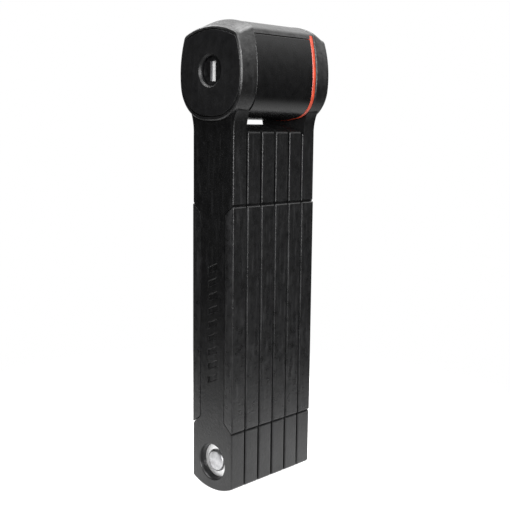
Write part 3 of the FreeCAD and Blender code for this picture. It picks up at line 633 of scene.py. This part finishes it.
def notch_tool(middle):
    """V notches across both narrow faces at both ends of the guards."""
    wedges = []
    slope = NOTCH_HALF / NOTCH_DEPTH
    for height in NOTCHES:
        for side in (-1, 1):
            outer, inner = GUARD_HALF + NOTCH_PAST, GUARD_HALF - NOTCH_DEPTH
            half = slope * (outer - inner)
            corners = [(side * inner, height), (side * outer, height - half), (side * outer, height + half)]
            wedges.append(flat_prism(corners, middle - GUARD_SKIN - PAST, middle + GUARD_SKIN + PAST))
    return joined(*wedges)


def web_box(middle):
    wrap = GUARD_SKIN - GUARD_CHEEK
    return block((middle - wrap, middle + wrap), (-GUARD_WEB, GUARD_WEB), (WEB_SHORT, LINK_TOP - WEB_SHORT))


def guard_pair(middle):
    """Both edge guards of a link, each wrapped round a narrow face."""
    envelope = prism(lambda inset: bar_outline(inset, GUARD_HALF), middle - GUARD_SKIN, middle + GUARD_SKIN,
                     LONG_ROUND, LONG_ROUND)
    guards = []
    for side in (-1, 1):
        slab = flat_prism(guard_corners(side), middle - GUARD_SKIN - PAST, middle + GUARD_SKIN + PAST)
        guard = cut(shared(envelope, slab), notch_tool(middle))
        guards.append(cut(edged(guard, GUARD_EDGE), web_box(middle)))
    return joined(*guards)


def guard_room(middle):
    """What the coat gives up for its guards and the grooves round them."""
    slabs = []
    for side in (-1, 1):
        corners = guard_corners(side, GUARD_GROOVE)
        slab = flat_prism(corners, middle - GUARD_SKIN - PAST, middle + GUARD_SKIN + PAST)
        slabs.append(cut(slab, web_box(middle)))
    return joined(*slabs)


def recess_tool(outward):
    """Sloped recess round an outer rivet, with a softened lip, and the well of its washer."""
    skin = abs(LINK_X[1]) + COAT_SKIN
    steel = abs(LINK_X[1]) + STEEL_HALF
    slope = (RECESS_RIM_R - RECESS_FLOOR_R) / (skin - steel)
    lip = [(skin + PAST, RECESS_RIM_R + RECESS_LIP + PAST)]
    lip += [(skin - RECESS_LIP * depth, RECESS_RIM_R + RECESS_LIP * width) for depth, width in LIP_CURVE]
    lip.append((skin - RECESS_LIP, RECESS_RIM_R - slope * RECESS_LIP))
    floor = [(steel, RECESS_FLOOR_R), (steel - SEAT_DEPTH - HIDDEN, RECESS_FLOOR_R)]
    tool = turned(lip + floor, LOW_PIVOT)
    return tool if outward > 0 else flipped(tool)


def rivet_wells(number):
    """Pockets round an inner link's rivets and under the spacers beside it."""
    middle = LINK_X[number]
    wells = []
    for other in (number - 1, number + 1):
        if other not in LINKS:
            continue
        height = LOW_PIVOT if min(number, other) % 2 else HIGH_PIVOT
        toward = 1 if other > number else -1
        wells.append(well(SPACER_WELL_R, middle, toward, height))
        if number not in (1, 6):
            wells.append(well(HEAD_WELL_R, middle, -toward, height))
    return wells


def well(radius, middle, toward, height):
    """Round pocket down to the steel with a chamfered mouth, open towards one side."""
    mouth_r = radius + WELL_CHAMFER
    profile = [(STEEL_HALF - HIDDEN, radius), (COAT_SKIN - WELL_CHAMFER, radius), (COAT_SKIN, mouth_r),
               (COAT_SKIN + PAST, mouth_r)]
    tool = turned(profile, height)
    return moved(tool if toward > 0 else flipped(tool), middle)


def marking_tool():
    """Slanted bars sunk into the first link's outer face, with leaning walls."""
    face = LINK_X[1] - COAT_SKIN
    bars = []
    for index in range(MARK_COUNT):
        low = MARK_LOW_Z + index * MARK_PITCH
        rings = []
        for x, share in ((face - PAST, 1.0), (face, 1.0), (face + MARK_DEPTH, 0.0)):
            half, bar = MARK_HALF + share * MARK_END_DRAFT, MARK_BAR + 2 * share * MARK_DRAFT
            bottom = low - share * MARK_DRAFT
            rings.append(ring_at(x, [(-half, bottom + MARK_SLANT), (half, bottom), (half, bottom + bar),
                                     (-half, bottom + MARK_SLANT + bar)]))
        bars.append(mesh_from(rings))
    return joined(*bars)


def head_block(inner_x):
    """Rings of a head block, from its outer rim back to inner_x, swelling as it goes."""
    outer, inner = head_outline(BLOCK_OUTER), head_outline(BLOCK_INNER)
    rings = [ring_at(-FACE_X + run, head_outline(BLOCK_OUTER, inset)) for run, inset in RIM]
    start = -FACE_X + RIM[-1][0]
    for step in range(1, BLOCK_STEPS + 1):
        share = step / BLOCK_STEPS
        rings.append(ring_at(start + (-inner_x - start) * share, between(outer, inner, share ** BLOCK_SWELL)))
    return rings


def key_side():
    """Arm and head block of link 1, open for the face plate and the lock's spigot."""
    rings = head_block(BLOCK_IN_X + BLOCK_EDGE)
    rings.append(ring_at(-BLOCK_IN_X, head_outline(BLOCK_INNER, BLOCK_EDGE)))
    body_space = prism(lambda inset: head_outline(BODY, inset - FIT), -BLOCK_IN_X, 0.0)
    body_bottom = BODY[3]
    above = block((-BLOCK_IN_X, 0.0), (-ARM_CUT, ARM_CUT), (body_bottom + ARM_BESIDE_BODY, ARM_TOP_Z + PAST))
    arm = prism(arm_outline, LINK_X[1] - COAT_SKIN, -ARM_IN_X, LONG_ROUND, LONG_ROUND)
    spigot_hole = turned([(-FACE_X - PAST, SPIGOT_R + FIT), (0.0, SPIGOT_R + FIT)], AXIS_Z)
    return cut(fused(cut(arm, body_space, above), mesh_from(rings)), plate_seat(), spigot_hole)


def plate_seat():
    """Pocket of the face plate, as wide as the plate and its groove."""
    back = PLATE_THICK - FACE_X
    return prism(lambda inset: head_outline(PLATE, inset - PLATE_GROOVE), -FACE_X - PAST, back)


def cap_side():
    """Arm and end cap of link 6, open for its plate and the strike bush. The cap's edges are rounded."""
    rings = head_block(CAP_IN_X + CAP_ROUND)
    for run, inset in reversed(rounding(CAP_ROUND, CAP_ROUND_STEPS)[:-1]):
        rings.append(ring_at(-CAP_IN_X - run, head_outline(BLOCK_INNER, inset)))
    arm = prism(arm_outline, LINK_X[1] - COAT_SKIN, -ARM_IN_X, LONG_ROUND, LONG_ROUND)
    ring_space = block((-CAP_IN_X, 0.0), (-ARM_CUT, ARM_CUT), (UNDER_RING_Z, ARM_TOP_Z + PAST))
    strike_well = turned([(-FACE_X - PAST, STRIKE_R + FIT), (0.0, STRIKE_R + FIT)], AXIS_Z)
    return flipped(cut(fused(cut(arm, ring_space), mesh_from(rings)), plate_seat(), strike_well))


def coat(number):
    middle = LINK_X[number]
    if number == 1:
        solid = cut(key_side(), recess_tool(-1), marking_tool())
    elif number == 6:
        solid = cut(cap_side(), recess_tool(1))
    else:
        solid = prism(bar_outline, middle - COAT_SKIN, middle + COAT_SKIN, LONG_ROUND, LONG_ROUND)
    return cut(solid, guard_room(middle), notch_tool(middle), *rivet_wells(number))


def build_links():
    for number in LINKS:
        body = body_of_link(number)
        piece(f"link_{number}_coat_skin", coat(number), FINISH["coat_plastic"], body,
              [f"link_{number}_coat"])
        piece(f"link_{number}_guard_skin", guard_pair(LINK_X[number]), FINISH["guard_plastic"], body,
              [f"link_{number}_edge_guards"])


# ---- outer rivets and washers --------------------------------------------------------------
def outer_rivet():
    """Peened outer head, a little out of true, on its shank with the buried head at the far end."""
    seat = LINK_X[1] - STEEL_HALF + SEAT_DEPTH - WASHER_THICK
    buried = LINK_X[2] + STEEL_HALF
    top, end = seat - OUTER_HEAD_HIGH, buried + INNER_HEAD_HIGH
    raised = [(top - height, radius) for height, radius in RAISED_MIDDLE]
    rounded = []
    for turn in map(radians, PEEN_ANGLES):
        rounded.append((top + PEEN_DEEP * (1 - cos(turn)), OUTER_HEAD_R - PEEN_WIDE * (1 - sin(turn))))
    foot = [(seat, OUTER_HEAD_R), (seat, RIVET_R)]
    head = turned(raised + rounded + foot, LOW_PIVOT, wobble=OUTER_HEAD_WOBBLE)
    shank_r = RIVET_R - SHANK_PLAY
    shank = turned([(seat - SHANK_IN_HEAD, shank_r), (buried + HIDDEN, shank_r)], LOW_PIVOT)
    tail = turned([(buried + INNER_HEAD_GAP, INNER_HEAD_R), (end - INNER_HEAD_EDGE, INNER_HEAD_R),
                   (end, INNER_HEAD_R - INNER_HEAD_EDGE)], LOW_PIVOT)
    return joined(head, shank, tail)


def outer_washer():
    seat = LINK_X[1] - STEEL_HALF + SEAT_DEPTH
    front = seat - WASHER_THICK
    outer, inner = RECESS_FLOOR_R - WASHER_PLAY, RIVET_R + WASHER_PLAY
    profile = [(front + WASHER_EDGE, outer), (front, outer - WASHER_EDGE), (front, inner + WASHER_EDGE),
               (front + WASHER_EDGE, inner), (seat, inner), (seat, outer)]
    return turned(profile, LOW_PIVOT, closed=True)


def build_rivets():
    steel, zinc = FINISH["rivet_steel"], FINISH["washer_zinc"]
    rivet, washer = outer_rivet(), outer_washer()
    piece("rivet_1_2_peened", rivet, steel, "lock_head", ["rivet_1_2"])
    piece("washer_link_1_turned", washer, zinc, "lock_head", ["washer_link_1"])
    piece("rivet_5_6_peened", flipped(rivet), steel, "link_6", ["rivet_5_6"])
    piece("washer_link_6_turned", flipped(washer), zinc, "link_6", ["washer_link_6"])


# ---- head ---------------------------------------------------------------------------------
def shell(outline_shape, x_from, x_to, thick, proud=0.0, edge=0.25):
    """Hollow section of the head with softened outer rims."""
    outer = [(x_from + run, inset - proud) for run, inset in rounding(edge)]
    outer += [(x_to - run, inset - proud) for run, inset in reversed(rounding(edge))]
    loops = outer + [(x_to, thick), (x_from, thick)]
    return mesh_from([ring_at(x, head_outline(outline_shape, inset)) for x, inset in loops], closed=True)


def build_head():
    sleeve = shell(BODY, -BLOCK_IN_X, SLEEVE_END_X, SLEEVE_THICK - SLEEVE_PLAY)
    sleeve = edged(cut(sleeve, layer(SEAM_Z, ABOVE_HEAD)), SLEEVE_EDGE, SEAM_SHARP)
    piece("head_sleeve_skin", sleeve, FINISH["sleeve_gloss"], "lock_head", ["head_sleeve"])
    cover = shell(BODY, -BLOCK_IN_X, RING_END_X, SLEEVE_THICK - SLEEVE_PLAY)
    below_seam = layer(BELOW_HEAD, SEAM_Z + SEAM_GAP)
    under_tongue = layer(BELOW_HEAD, RING_TOP_Z + TONGUE_GAP, SLEEVE_END_X)
    cover = edged(cut(cover, below_seam, under_tongue), COVER_EDGE, SEAM_SHARP)
    piece("head_top_cover_skin", cover, FINISH["coat_plastic"], "lock_head",
          ["head_top_cover"])
    ring = shell(BODY, SLEEVE_END_X + RING_GAP, RING_END_X, SLEEVE_THICK + RING_EXTRA, RING_PROUD, RING_ROUND)
    piece("docking_ring_skin", cut(ring, layer(RING_TOP_Z, ABOVE_HEAD)), FINISH["ring_red"], "lock_head",
          ["docking_ring"])
    plate = prism(lambda inset: head_outline(PLATE, inset), -FACE_X, PLATE_THICK - FACE_X, PLATE_EDGE)
    mouth_r = KEYHOLE_R + KEYHOLE_CHAMFER
    keyhole = turned([(-FACE_X - PAST, mouth_r + PAST), (-FACE_X, mouth_r),
                      (-FACE_X + KEYHOLE_CHAMFER, KEYHOLE_R), (0.0, KEYHOLE_R)], AXIS_Z)
    piece("key_face_plate_skin", cut(plate, keyhole), FINISH["face_plastic"], "lock_head",
          ["key_face_plate"])
    piece("end_cap_plate_skin", flipped(plate), FINISH["face_plastic"], "link_6",
          ["end_cap_plate"])


# ---- CAD nodes that stay in view -----------------------------------------------------------
def dress_cad_nodes():
    """Gives each CAD node the finish of its material slot."""
    slots = {entry["node"]: entry["material_slot"] for entry in frame["record"]["subparts"]}
    for name, node in frame["nodes"].items():
        finish = FINISH[slots[name]]
        node.data.materials.clear()
        node.data.materials.append(finish)
        for polygon in node.data.polygons:
            polygon.material_index = 0


# ---- floor, light and camera ----------------------------------------------------------------
CAMERA_PLACE = (-0.27475, -0.26997, 0.15739)    # m
CAMERA_AZIMUTH = radians(-45.576)
CAMERA_ELEVATION = radians(8.226)
CAMERA_ROLL = radians(0.58)
CAMERA_LENS = 61.87                             # mm, as is the sensor's width
SENSOR = 36.0
NEAREST = 0.01                                  # m
FLOOR_MIDDLE = (0.02, 0.04)                     # m, the brightest spot of the paper
FLOOR_FADE = (0.05, 0.2)                        # m, how far from there the floor starts and ends to fade
FLOOR_DROP = 0.0002                             # m, under the lock's lower ends
# painted light: the floor paper glows this strongly, filling the shadow under the lock and lighting the lock from
# below
FLOOR_GLOW = 0.95
PAPER_GREYS = (0.4, 0.42)
BACKDROP_WAY = (0.7, 0.7, 0.12)
BACKDROP_LIGHT = (0.55, 0.95, 0.03, 1.0)    # cosine at its edge and middle, light outside and inside
WALL_WAY = (0.7, -0.7, 0.0)
WALL_SPREAD = (-0.15, 0.7, 0.0, 2.0)        # the same for the white wall beside the lock
# (height, light) of that wall: 0 is straight down, 0.5 the horizon and 1 straight up
WALL_HEIGHTS = ((0.13, 0.5), (0.22, 0.4), (0.29, 0.0), (0.4, 0.0), (0.475, 0.01), (0.53, 0.03), (0.63, 0.14),
                (0.72, 0.55), (0.8, 1.0))
LIT_POINT = (0, 0, 0.1)
# name, place in m, (width, height) in m, and power in W
SOFTBOXES = (
    ("top_softbox", (0, 0, 1.2), (1.0, 1.0), 32),
    ("left_softbox", (-0.9, -0.3, 0.3), (0.5, 0.5), 1),
    ("front_softbox", (-0.6, -0.72, 0.34), (0.24, 0.36), 11),
    ("rim_softbox", (0.08, 0.75, 0.9), (0.4, 0.4), 4),
)


def build_floor():
    """White paper that glows, painted light that washes out the lock's shadow on it; it is brightest under the
    lock and fades into the white background.
    """
    bm = bmesh.new()
    bmesh.ops.create_circle(bm, cap_ends=True, segments=ROUND_TURN, radius=FLOOR_FADE[1])
    mesh = bpy.data.meshes.new("floor")
    bm.to_mesh(mesh)
    bm.free()
    surface = Surface("floor_glowing_paper")
    dark, light = [(grey, grey, grey) for grey in PAPER_GREYS]
    surface.colour(surface.ramp(surface.noise(6, 3), [(0.3, dark), (0.7, light)]))
    surface.shader.inputs["Roughness"].default_value = 0.9
    surface.shader.inputs["Specular IOR Level"].default_value = 0.1
    # painted light: the paper glows white
    surface.shader.inputs["Emission Color"].default_value = (1, 1, 1, 1)
    surface.shader.inputs["Emission Strength"].default_value = FLOOR_GLOW
    away = surface.nodes.new("ShaderNodeVectorMath")
    away.operation = "LENGTH"
    surface.link(surface.place, away.inputs[0])
    surface.link(surface.ranged(away.outputs["Value"], *FLOOR_FADE, 1.0, 0.0, "SMOOTHSTEP"),
                 surface.shader.inputs["Alpha"])
    mesh.materials.append(surface.material)
    floor = bpy.data.objects.new("floor", mesh)
    floor.location = (*FLOOR_MIDDLE, -FLOOR_DROP)
    bpy.context.scene.collection.objects.link(floor)


def build_world():
    """White to the camera. To everything else, a dim room with a white backdrop behind the lock and a white
    wall beside it that is brighter towards its top."""
    world = bpy.data.worlds.new("studio")
    bpy.context.scene.world = world
    world.use_nodes = True
    nodes, links = world.node_tree.nodes, world.node_tree.links
    nodes.clear()
    place = nodes.new("ShaderNodeTexCoord")

    def math(operation, a, b):
        node = nodes.new("ShaderNodeMath")
        node.operation = operation
        for socket, value in zip(node.inputs, (a, b)):
            if isinstance(value, float):
                socket.default_value = value
            else:
                links.new(value, socket)
        return node.outputs["Value"]

    def lit_towards(way, spread):
        """Light that grows from spread's third number to its fourth as the view turns towards a direction."""
        facing = nodes.new("ShaderNodeVectorMath")
        facing.operation = "DOT_PRODUCT"
        facing.inputs[1].default_value = Vector(way).normalized()
        links.new(place.outputs["Generated"], facing.inputs[0])
        node = nodes.new("ShaderNodeMapRange")
        node.interpolation_type = "SMOOTHSTEP"
        for name, number in zip(("From Min", "From Max", "To Min", "To Max"), spread):
            node.inputs[name].default_value = number
        links.new(facing.outputs["Value"], node.inputs["Value"])
        return node.outputs["Result"]

    height = nodes.new("ShaderNodeSeparateXYZ")
    links.new(place.outputs["Generated"], height.inputs[0])
    rise = nodes.new("ShaderNodeValToRGB")
    rise.color_ramp.interpolation = "B_SPLINE"
    elements = rise.color_ramp.elements
    while len(elements) < len(WALL_HEIGHTS):
        elements.new(0.5)
    for element, (position, value) in zip(elements, WALL_HEIGHTS):
        element.position = position
        element.color = (value, value, value, 1)
    links.new(math("ADD", math("MULTIPLY", height.outputs["Z"], 0.5), 0.5), rise.inputs["Fac"])
    wall = math("MULTIPLY", rise.outputs["Color"], lit_towards(WALL_WAY, WALL_SPREAD))
    room, white = nodes.new("ShaderNodeBackground"), nodes.new("ShaderNodeBackground")
    room.inputs["Color"].default_value = (1, 1, 1, 1)
    links.new(math("ADD", wall, lit_towards(BACKDROP_WAY, BACKDROP_LIGHT)), room.inputs["Strength"])
    white.inputs["Color"].default_value = (1, 1, 1, 1)
    mix, path, out = [nodes.new(f"ShaderNode{kind}") for kind in ("MixShader", "LightPath", "OutputWorld")]
    links.new(path.outputs["Is Camera Ray"], mix.inputs["Fac"])
    links.new(room.outputs["Background"], mix.inputs[1])
    links.new(white.outputs["Background"], mix.inputs[2])
    links.new(mix.outputs["Shader"], out.inputs["Surface"])


def soft_light(name, place, size, power):
    """Area light that faces the lock."""
    light = bpy.data.lights.new(name, "AREA")
    light.shape = "RECTANGLE"
    light.size, light.size_y = size
    light.energy = power
    lamp = bpy.data.objects.new(name, light)
    lamp.location = place
    lamp.rotation_euler = (Vector(LIT_POINT) - Vector(place)).to_track_quat("-Z", "Y").to_euler()
    bpy.context.scene.collection.objects.link(lamp)


def build_camera():
    flat = cos(CAMERA_ELEVATION)
    back = Vector((sin(CAMERA_AZIMUTH) * flat, -cos(CAMERA_AZIMUTH) * flat, sin(CAMERA_ELEVATION)))
    level = Vector((cos(CAMERA_AZIMUTH), sin(CAMERA_AZIMUTH), 0))
    upright = back.cross(level)
    right = level * cos(CAMERA_ROLL) + upright * sin(CAMERA_ROLL)
    up = upright * cos(CAMERA_ROLL) - level * sin(CAMERA_ROLL)
    camera = bpy.data.cameras.new("camera")
    camera.lens = CAMERA_LENS
    camera.sensor_width = SENSOR
    camera.clip_start = NEAREST
    holder = bpy.data.objects.new("camera", camera)
    turn = Matrix((right, up, back)).transposed().to_4x4()
    holder.matrix_world = Matrix.Translation(CAMERA_PLACE) @ turn
    bpy.context.scene.collection.objects.link(holder)
    bpy.context.scene.camera = holder


def build_stage():
    build_floor()
    build_world()
    for softbox in SOFTBOXES:
        soft_light(*softbox)
    build_camera()
    bpy.context.scene.view_settings.view_transform = "Standard"


build_links()
build_rivets()
build_head()
dress_cad_nodes()
build_stage()
